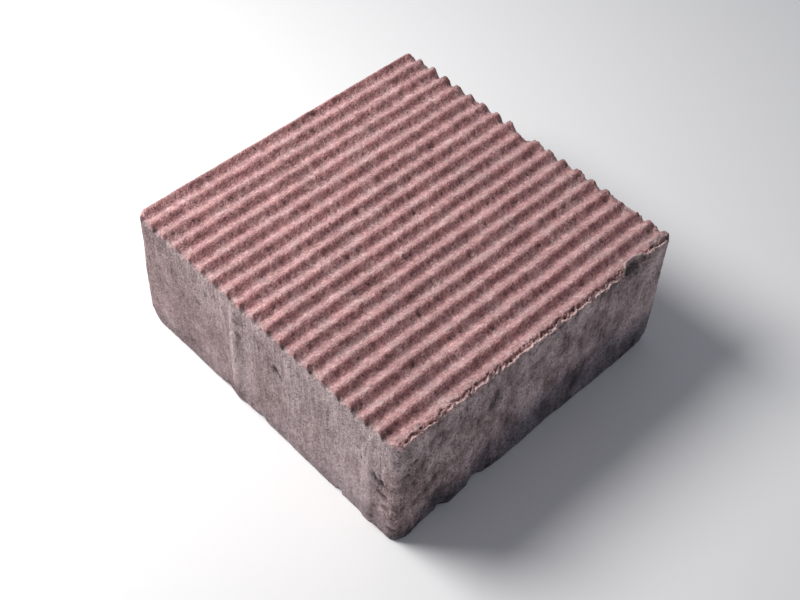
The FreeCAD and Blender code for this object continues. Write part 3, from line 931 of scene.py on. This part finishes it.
    # redder painted shade tint where the ribs turn into shade
    top = mix(top, mix(top, (0.98, 0.84, 0.83), 1.0, "MULTIPLY"), shade_tint_at)
    shade = math_("ADD", span(patch, 0.3, 0.7, 0.89, 1.09, "LINEAR"), span(fine, 0.3, 0.7, -0.10, 0.10, "LINEAR"))
    shade = math_("ADD", shade, span(blot, 0.3, 0.7, -0.23, 0.23, "LINEAR"))
    shade = math_("ADD", shade, span(sand, 0.0, 1.0, -0.12, 0.12, "LINEAR"))
    shade = math_("ADD", shade, math_("MULTIPLY", math_("SUBTRACT", mott, 0.5), math_("ADD", math_("MULTIPLY", coarse_at, 1.3), 0.25)))
    # painted light from the skin attribute: the top a little paler towards the -X +Y corner
    shade = math_("ADD", shade, math_("MULTIPLY", math_("SUBTRACT", skin_and_light_at, 0.5), 0.5))
    top = scaled(top, shade)

    # sides: greyer cement skin over the same mix
    r_side = ramp(nt, [(0.28, (0.240, 0.159, 0.160)), (0.5, (0.364, 0.258, 0.259)), (0.72, (0.52, 0.396, 0.397))])
    link(both, r_side.inputs[0])
    r_skin = ramp(nt, [(0.28, (0.305, 0.228, 0.229)), (0.5, (0.435, 0.339, 0.341)), (0.72, (0.58, 0.476, 0.477))])
    link(both, r_skin.inputs[0])
    skin_and_light = math_("ADD", math_("MULTIPLY", streak, 0.38), math_("MULTIPLY", mott, 0.62))
    # the skin attribute carries painted light as well as skin, here and in the side shade below
    skin_and_light = math_("ADD", skin_and_light, math_("MULTIPLY", math_("SUBTRACT", skin_and_light_at, 0.5), 0.45))
    sides = mix(r_side.outputs[0], r_skin.outputs[0], span(skin_and_light, 0.36, 0.66))
    shade = math_("ADD", span(blot, 0.28, 0.72, 0.83, 1.15, "LINEAR"), span(fine, 0.3, 0.7, -0.10, 0.10, "LINEAR"))
    shade = math_("ADD", shade, span(sand, 0.0, 1.0, -0.20, 0.20, "LINEAR"))
    shade = math_("ADD", shade, span(patch, 0.3, 0.7, -0.12, 0.12, "LINEAR"))
    shade = math_("ADD", shade, math_("MULTIPLY", math_("SUBTRACT", skin_and_light_at, 0.5), 0.30))
    high = node(nt, "ShaderNodeSeparateXYZ")
    link(mm.outputs[0], high.inputs[0])
    drag = tex(1.0, 2.0, 0.6, 0.0, (0.70, 0.70, 0.04))
    shade = math_("ADD", shade, math_("MULTIPLY", math_("SUBTRACT", drag, 0.5), math_("MULTIPLY", span(high.outputs[2], 12.0, 66.0, 0.25, 1.15), span(coarse_at, 0.3, 0.8, 1.0, 0.35, "LINEAR"))))
    more = math_("MULTIPLY", math_("SUBTRACT", mott, 0.5), math_("ADD", math_("MULTIPLY", coarse_at, 5.0), -0.75))
    sides = scaled(sides, math_("ADD", shade, more))

    wob = math_("ADD", facing, math_("MULTIPLY", math_("SUBTRACT", grain, 0.5), 0.6))
    base = mix(sides, top, span(wob, 0.35, 0.75))
    base = mix(base, (0.70, 0.54, 0.52), math_("MULTIPLY", flash_at, 0.8))

    # pores: irregular dark spots, mostly where the skin is coarse
    pores = tex(0.70, 2.5, 0.6, 0.4, (1.0, 1.0, 0.7))
    many = math_("ADD", math_("MULTIPLY", coarse_at, 0.085), span(facing, 0.0, 0.6, 0.030, 0.0, "LINEAR"))
    spot = span(math_("ADD", pores, many), 0.67, 0.75)
    base = mix(base, (0.075, 0.055, 0.05), math_("MULTIPLY", spot, 0.7))

    # a few pale sand grains
    far, one, _ = cells(0.60)
    pale = math_("MULTIPLY", math_("GREATER_THAN", one, 0.94), span(far, 0.40, 0.18))
    base = mix(base, (0.74, 0.64, 0.55), math_("MULTIPLY", pale, 0.5))

    # hollows are darkened, partly dirt and partly painted shade, and the foot gets a bluish painted shade
    base = mix(base, (0.045, 0.039, 0.038), math_("MULTIPLY", hollow, 0.84))
    # bluish painted shade, darkest at the +X foot
    foot_shade = mix(base, (0.40, 0.45, 0.52), 1.0, "MULTIPLY")
    base = mix(base, foot_shade, math_("ADD", painted_foot_shade_at, math_("MULTIPLY", math_("SUBTRACT", clump, 0.5), math_("MULTIPLY", painted_foot_shade_at, 0.6)), True))
    link(base, bsdf.inputs["Base Color"])

    link(span(grain, 0.2, 0.8, 0.84, 0.98, "LINEAR"), bsdf.inputs["Roughness"])

    hgt = math_("ADD", math_("MULTIPLY", grain, 0.55), math_("MULTIPLY", clump, 0.85))
    hgt = math_("SUBTRACT", hgt, math_("MULTIPLY", dome, 0.4))
    hgt = math_("SUBTRACT", hgt, math_("MULTIPLY", spot, 0.5))
    bump = node(nt, "ShaderNodeBump")
    bump.inputs["Strength"].default_value = 0.9
    bump.inputs["Distance"].default_value = 0.0008
    link(hgt, bump.inputs["Height"])
    link(bump.outputs[0], bsdf.inputs["Normal"])
    return m


mesh.materials.append(concrete())
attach(slab, "root")
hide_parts("paving_slab")


# ---------------------------------------------------------------------- floor, light, camera
def floor_material():
    m, nt = new_material("studio_floor")
    out = node(nt, "ShaderNodeOutputMaterial")
    b = node(nt, "ShaderNodeBsdfPrincipled")
    b.inputs["Base Color"].default_value = (0.92, 0.92, 0.92, 1)
    b.inputs["Roughness"].default_value = 0.9
    nt.links.new(b.outputs[0], out.inputs[0])
    return m


fm = bpy.data.meshes.new("floor")
fm.from_pydata([(-6, -6, 0), (6, -6, 0), (6, 6, 0), (-6, 6, 0)], [], [(0, 1, 2, 3)])
fm.materials.append(floor_material())
floor = bpy.data.objects.new("floor", fm)
floor.location = (0, 0, -0.0002)
bpy.context.scene.collection.objects.link(floor)


def area_light(name, place, target, size, power, colour=(1, 1, 1)):
    l = bpy.data.lights.new(name, "AREA")
    l.shape = "DISK"
    l.size = size
    l.energy = power
    l.color = colour
    o = bpy.data.objects.new(name, l)
    o.location = place
    d = Vector(target) - Vector(place)
    o.rotation_euler = d.to_track_quat("-Z", "Y").to_euler()
    bpy.context.scene.collection.objects.link(o)
    return o


area_light("key", (-0.374, -0.270, 0.628), (0, 0, 0.083), 0.40, 6.5, (1.0, 0.985, 0.97))

world = bpy.data.worlds.new("studio")
world.use_nodes = True
bg = world.node_tree.nodes["Background"]
bg.inputs["Color"].default_value = (0.93, 0.97, 1.09, 1)
bg.inputs["Strength"].default_value = 0.21
bpy.context.scene.world = world

cam = bpy.data.cameras.new("camera")
cam.sensor_fit = "HORIZONTAL"
cam.sensor_width = 36.0
cam.lens = 59.604
cam.clip_start = 0.05
cam.clip_end = 50.0
cam.dof.use_dof = False
cam_ob = bpy.data.objects.new("camera", cam)
right = Vector((0.6885, 0.724309, 0.036673))
up = Vector((-0.573792, 0.513103, 0.638347))
back = Vector((0.443543, -0.460545, 0.768874))
rot = Matrix((right, up, back)).transposed().to_4x4()
cam_ob.matrix_world = Matrix.Translation(Vector((0.325555, -0.339585, 0.588841))) @ rot
bpy.context.scene.collection.objects.link(cam_ob)
bpy.context.scene.camera = cam_ob

bpy.context.scene.view_settings.view_transform = "Standard"
bpy.context.scene.view_settings.look = "None"
